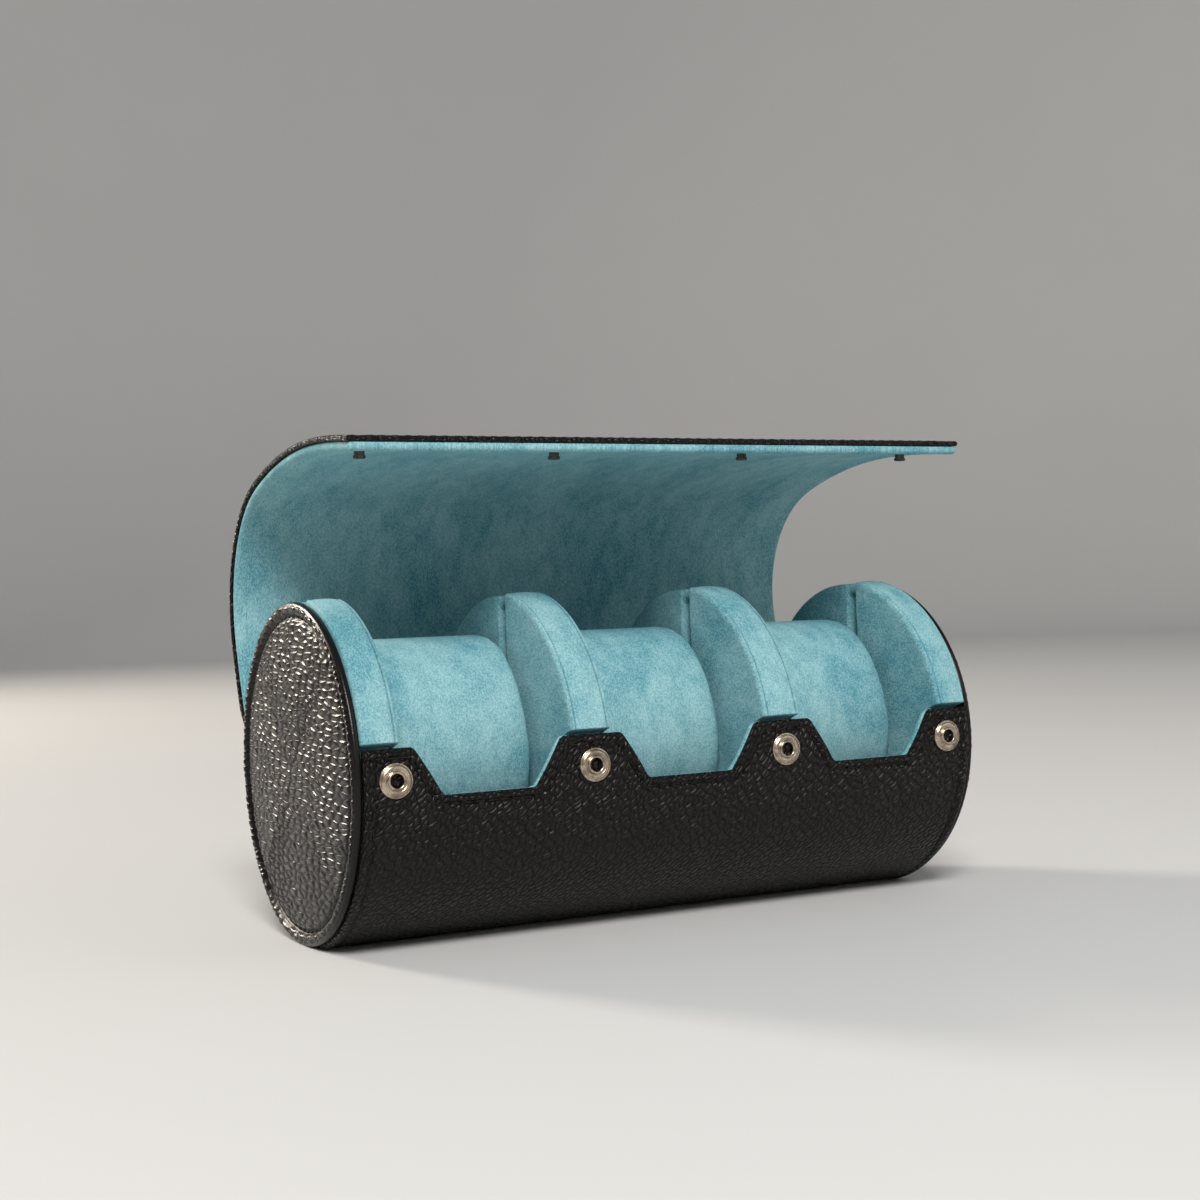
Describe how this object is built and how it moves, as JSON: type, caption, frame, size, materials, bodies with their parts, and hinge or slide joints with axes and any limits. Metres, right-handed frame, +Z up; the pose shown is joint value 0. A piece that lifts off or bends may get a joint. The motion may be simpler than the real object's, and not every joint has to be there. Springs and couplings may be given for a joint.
{
  "type": "watch travel case",
  "caption": "Cylindrical leather travel case with suede-lined bays, a lift-out watch pillow in each, and a curling snap-down lid.",
  "frame": {"origin": "middle of the flat underside", "axes": "+X along the case to its right end, -Y towards the front teeth, +Z up"},
  "size_m": [0.1966, 0.11, 0.1373],
  "materials": {
    "leather": "satin",
    "suede": "matte",
    "foam": "matte",
    "board": "matte",
    "nickel": "polished",
    "gunmetal": "satin"
  },
  "bodies": {
    "case": {"body_leather": "leather", "body_board": "board", "body_lining": "suede", "hinge_roll": "leather", "left_end_leather": "leather", "right_end_leather": "leather", "left_end_board": "board", "right_end_board": "board", "left_wall_suede": "suede", "right_wall_suede": "suede", "left_wall_foam": "foam", "right_wall_foam": "foam", "left_divider_suede": "suede", "right_divider_suede": "suede", "left_divider_foam": "foam", "right_divider_foam": "foam", "socket_rings": "nickel", "socket_springs": "gunmetal", "socket_backs": "gunmetal"},
    "lid_1": {"lid_leather_1": "leather", "lid_board_1": "board", "lid_lining_1": "suede"},
    "lid_2": {"lid_leather_2": "leather", "lid_board_2": "board", "lid_lining_2": "suede"},
    "lid_3": {"lid_leather_3": "leather", "lid_board_3": "board", "lid_lining_3": "suede"},
    "lid_4": {"lid_leather_4": "leather", "lid_board_4": "board", "lid_lining_4": "suede"},
    "lid_5": {"lid_leather_5": "leather", "lid_board_5": "board", "lid_lining_5": "suede"},
    "lid_6": {"lid_leather_6": "leather", "lid_board_6": "board", "lid_lining_6": "suede", "studs": "gunmetal", "stud_plates": "gunmetal"},
    "left_pillow": {"left_pillow_wrap": "suede", "left_pillow_ends": "suede", "left_pillow_foam": "foam"},
    "middle_pillow": {"middle_pillow_wrap": "suede", "middle_pillow_ends": "suede", "middle_pillow_foam": "foam"},
    "right_pillow": {"right_pillow_wrap": "suede", "right_pillow_ends": "suede", "right_pillow_foam": "foam"}
  },
  "joints": [
    {"name": "lid_hinge", "type": "hinge", "parent": "case", "child": "lid_1", "pos_m": [0, 0.04599, 0.05827], "axis": [-1, 0, 0], "range_deg": [-43, 30]},
    {"name": "lid_bend_2", "type": "hinge", "parent": "lid_1", "child": "lid_2", "pos_m": [0, 0.05562, 0.08274], "axis": [-1, 0, 0], "range_deg": [-13.06, 3.82]},
    {"name": "lid_bend_3", "type": "hinge", "parent": "lid_2", "child": "lid_3", "pos_m": [0, 0.05576, 0.11024], "axis": [-1, 0, 0], "range_deg": [-4.78, 16.4]},
    {"name": "lid_bend_4", "type": "hinge", "parent": "lid_3", "child": "lid_4", "pos_m": [0, 0.03249, 0.12488], "axis": [-1, 0, 0], "range_deg": [-4.91, 1.48]},
    {"name": "lid_curl", "type": "hinge", "parent": "lid_4", "child": "lid_5", "pos_m": [0, 0.00692, 0.13126], "axis": [-1, 0, 0], "range_deg": [-20.9, 6]},
    {"name": "lid_bend_6", "type": "hinge", "parent": "lid_5", "child": "lid_6", "pos_m": [0, -0.01937, 0.1331], "axis": [-1, 0, 0], "range_deg": [-20.37, 5.92]},
    {"name": "left_pillow_lift", "type": "slide", "parent": "case", "child": "left_pillow", "axis": [0, -0.7254, 0.6884], "range_m": [0, 0.068]},
    {"name": "middle_pillow_lift", "type": "slide", "parent": "case", "child": "middle_pillow", "axis": [0, -0.7254, 0.6884], "range_m": [0, 0.068]},
    {"name": "right_pillow_lift", "type": "slide", "parent": "case", "child": "right_pillow", "axis": [0, -0.7254, 0.6884], "range_m": [0, 0.068]}
  ],
  "couplings": [
    {"joint": "lid_bend_2", "follows": "lid_curl", "ratio": 0.62},
    {"joint": "lid_bend_3", "follows": "lid_curl", "ratio": -0.78},
    {"joint": "lid_bend_4", "follows": "lid_curl", "ratio": 0.23},
    {"joint": "lid_bend_6", "follows": "lid_curl", "ratio": 0.97}
  ]
}
